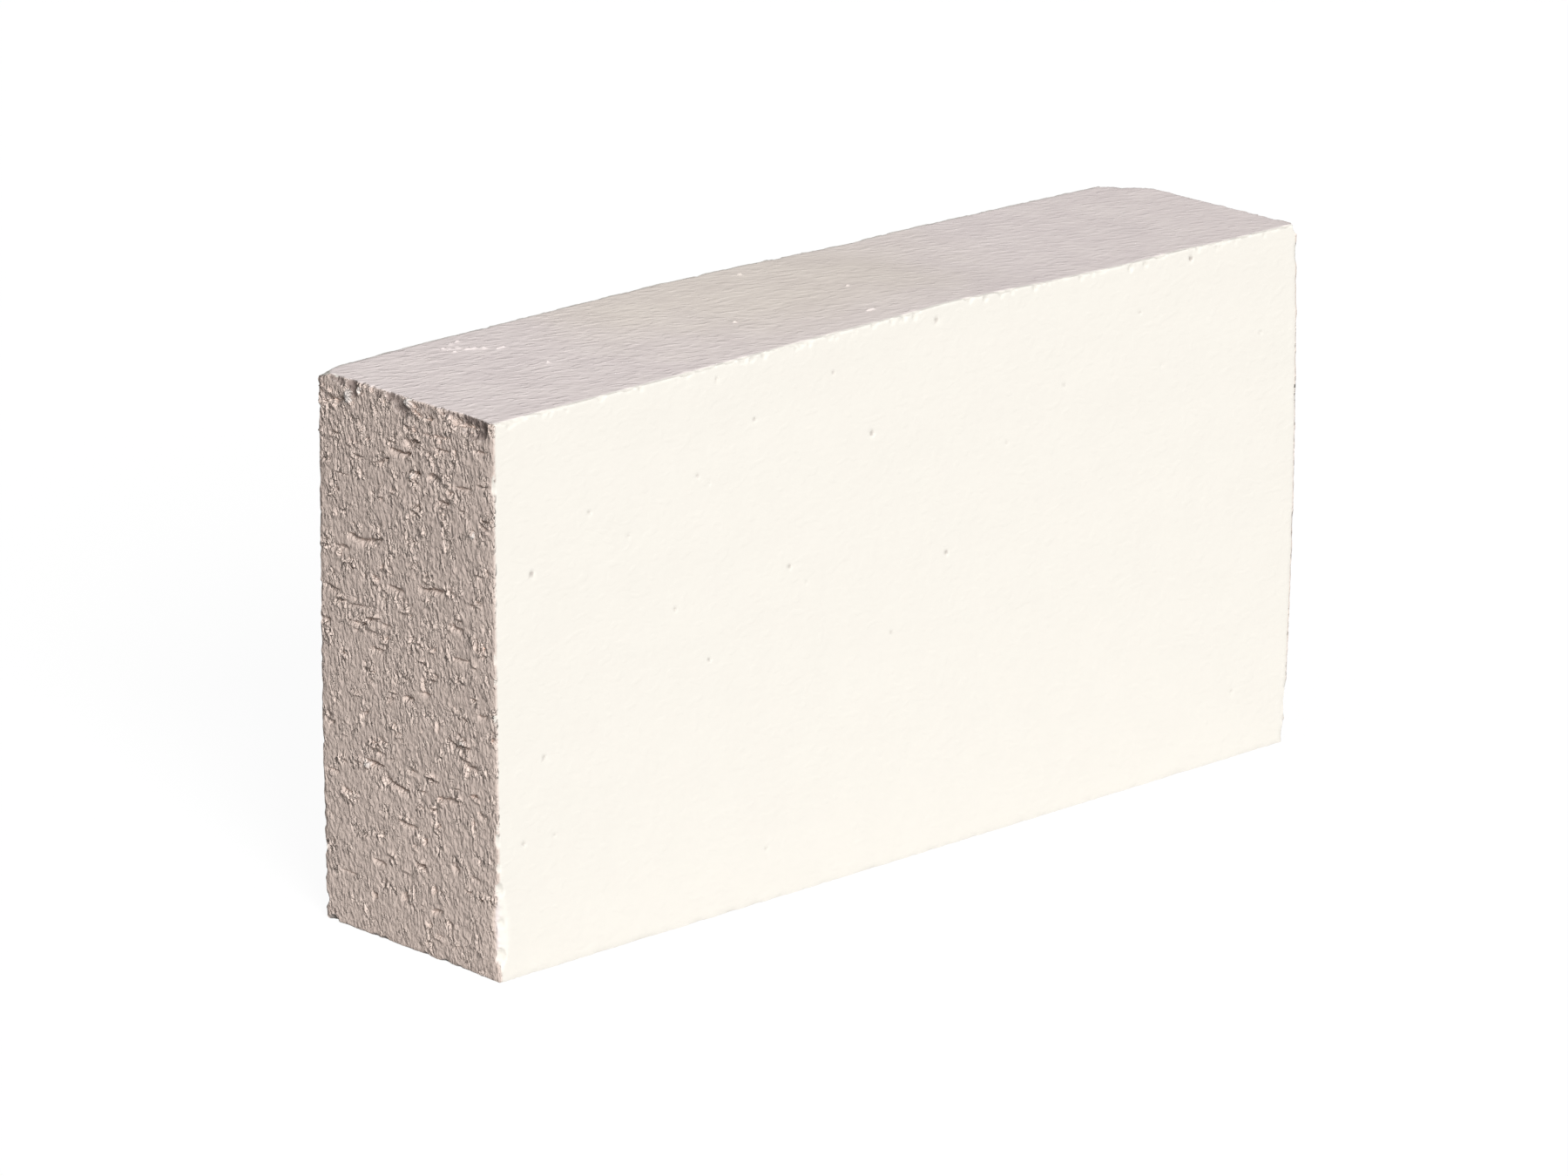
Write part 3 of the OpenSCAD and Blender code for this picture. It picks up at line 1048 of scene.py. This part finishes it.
# How much darker the torn clay gets towards the top, and the heights in metres over which it does.
TOP_DARKENING = 0.1
DARKENING_LOW, DARKENING_HIGH = 0.02, 0.112
# How strongly the painted shade darkens the hollows.
PAINTED_SHADE_STRENGTH = 0.9

along_ticks = (-DRAG_LEAN, 0, 0)
grains = texture(GRAIN_SCALE, stretched((1, 1, 2), along_ticks), 3)
# How much the torn clay is painted paler where it is rough, as painted light against the shade of
# its relief.
lightened_where_rough = ramp(rough_here, 0.4, 1.4)
shaded_body_colour = mix(lightened_where_rough, mix(grains, SHADED_BODY_DARK, SHADED_BODY), mix(grains, LIT_TORN_DARK, LIT_TORN_PALE))
height_here = add("SeparateXYZ", i0=here).outputs[2]
# The torn clay gets darker towards the top.
shaded_body_colour = mix(ramp(height_here, DARKENING_LOW, DARKENING_HIGH, 0.0, TOP_DARKENING), shaded_body_colour, DARK_BROWN)

colour = mix(torn_here, mix(value_of("bare"), skin_colour, CHIP), shaded_body_colour)
# Painted shade darkens the hollows.
colour = mix(math("MULTIPLY", painted_shade_here, PAINTED_SHADE_STRENGTH), colour, DARK_BROWN)
# Chalk whitens the scuffs and puts a painted highlight on the grains.
colour = mix(value_of("scuffs_and_highlights"), colour, CHALK_AND_HIGHLIGHT)
print("the colour takes", len(tree.nodes), "nodes")

# %% [markdown]
# ## Fine relief
#
# Grit that is finer than a cell of the mesh is left to a bump, which only tilts the light. On torn
# clay it is grit, with fine pits and crumbs that stand in it. On the pressed faces it is the drag
# of the press: faint leaning streaks with short raised dashes among them, strongest at the near
# end of the top. More cells could carry it too, but they would cost millions of triangles.

# %% Make the fine relief
GRIT_DEPTH = 0.95 * MM
SPECK_DEPTH = 0.5 * MM
DRAG_DEPTH, LEAST_DRAG_DEPTH = 0.28 * MM, 0.06 * MM
PRESS_LEAN = np.radians(18)
GRIT_SCALE, SPECK_SCALE, STREAK_SCALE, DASH_SCALE = 1600, 1500, 650, 700

grit = math("SUBTRACT", texture(GRIT_SCALE, stretched((1, 1, 2.4), along_ticks), 1), 0.5)
grit_height = math("MULTIPLY", math("MULTIPLY", grit, GRIT_DEPTH), math("MINIMUM", rough_here, 1.3))
specks = texture(SPECK_SCALE, stretched((1, 1, 1.4), along_ticks), 0)
fine_pits = ramp(specks, 0.58, 0.68, kind="SMOOTHSTEP")
crumbs = ramp(specks, 0.42, 0.33, kind="SMOOTHSTEP")
specked = math("MULTIPLY", math("MULTIPLY_ADD", fine_pits, -0.6, crumbs), rough_here)
torn_height = math("MULTIPLY_ADD", specked, SPECK_DEPTH, grit_height)
torn_height = math("MULTIPLY", torn_height, torn_here)

along_press = (0, 0, -PRESS_LEAN)
streaks = texture(STREAK_SCALE, stretched((1.8, 1, 1), along_press), 1, 0.6)
dashes = texture(DASH_SCALE, stretched((2, 0.8, 1), along_press), 0)
raised = ramp(dashes, 0.6, 0.7, kind="SMOOTHSTEP")
drag = math("MULTIPLY_ADD", raised, 0.25, math("MULTIPLY", streaks, 0.8))
length_here = add("SeparateXYZ", i0=here).outputs[0]
fading = math("MULTIPLY", shade_pink_here, ramp(length_here, -0.1, -0.02, 1.0, 0.55))
drag_depth = math("MULTIPLY_ADD", fading, DRAG_DEPTH, LEAST_DRAG_DEPTH)
height = math("ADD", torn_height, math("MULTIPLY", drag, drag_depth))
bump = add("Bump", Strength=1.0, Distance=1.0, Height=height)
print("the relief brings it to", len(tree.nodes), "nodes")

# %% [markdown]
# ## The surface
#
# Unglazed clay scatters light evenly and has next to no shine, so the shader is rough all over
# and its specular light is weak.

# %% Finish the material
surface_shader = add("BsdfPrincipled", {"distribution": "MULTI_GGX"}, Roughness=0.85, IOR=1.45,
                     Normal=bump.outputs[0],
                     **{"Base Color": colour, "Specular IOR Level": 0.2})
add("OutputMaterial", Surface=surface_shader.outputs[0])
mesh.materials.append(clay)
print("the finish is on", brick.name)

# %% [markdown]
# ## The floor
#
# A sheet of pale paper lies under the brick. It should look white, but paper lit so bright would
# throw much light back up at the brick. So the rays that show the sheet meet a glow with a faint
# shadow on it, and the rays that only light the brick meet plain grey paper.

# %% Lay the floor
FLOOR_REACH = 8.0
PAPER_GREY = 0.25
SHADOW_GREY = 0.08
PAPER_GLOW = 0.95


def seen_directly():
    """1 for a ray that shows the picture, from the camera, a gloss or a clear piece, else 0."""
    path = add("LightPath")
    seen = math("MAXIMUM", path.outputs["Is Camera Ray"], path.outputs["Is Glossy Ray"])
    return math("MAXIMUM", seen, path.outputs["Is Transmission Ray"])


def grey(level):
    """The colour whose red, green and blue are all this level."""
    return (level, level, level, 1)


floor_mesh = bpy.data.meshes.new("floor")
sides = ((-1, -1), (1, -1), (1, 1), (-1, 1))
floor_mesh.from_pydata([(x * FLOOR_REACH, y * FLOOR_REACH, 0) for x, y in sides], [],
                       [(0, 1, 2, 3)])
floor = in_scene("floor", floor_mesh)

paper = bpy.data.materials.new("paper")
tree = fresh_tree(paper)
plain = add("BsdfDiffuse", Color=grey(PAPER_GREY))
faint = add("BsdfDiffuse", Color=grey(SHADOW_GREY))
glow = add("Emission", Color=grey(1), Strength=PAPER_GLOW)
lit = add("AddShader", i0=faint.outputs[0], i1=glow.outputs[0])
both = add("MixShader", Fac=seen_directly(), i1=plain.outputs[0], i2=lit.outputs[0])
add("OutputMaterial", Surface=both.outputs[0])
floor_mesh.materials.append(paper)
print("the floor is", 2 * FLOOR_REACH, "m wide")

# %% [markdown]
# ## The light
#
# One wide lamp stands low in front, so that the front is the brightest side and the torn end lies
# in a grazing light that brings out its relief. A faint even room light fills the shade. The lamp
# is a sun with a wide disc, because that lights the whole brick alike and still softens the
# shadows. The room looks white where it is seen.

# %% Set up the light
ROOM_LIGHT = 0.19
SUN_FROM = np.array((-0.399, -0.788, 0.455))
SUN_STRENGTH = 3.39
SUN_WIDTH = np.radians(20)

world = bpy.data.worlds.new("studio")
bpy.context.scene.world = world
tree = fresh_tree(world)
room = add("Background", Color=grey(1), Strength=ROOM_LIGHT)
white = add("Background", Color=grey(1), Strength=1.0)
both = add("MixShader", Fac=seen_directly(), i1=room.outputs[0], i2=white.outputs[0])
add("OutputWorld", Surface=both.outputs[0])

sun_light = bpy.data.lights.new("key", "SUN")
sun_light.energy = SUN_STRENGTH
sun_light.angle = SUN_WIDTH
sun = in_scene("key", sun_light)
sun.rotation_euler = Vector(SUN_FROM.tolist()).to_track_quat("Z", "Y").to_euler()

bpy.context.scene.view_settings.view_transform = "Standard"
print("the lamp stands", round(float(np.degrees(np.arcsin(SUN_FROM[2])))), "degrees high")
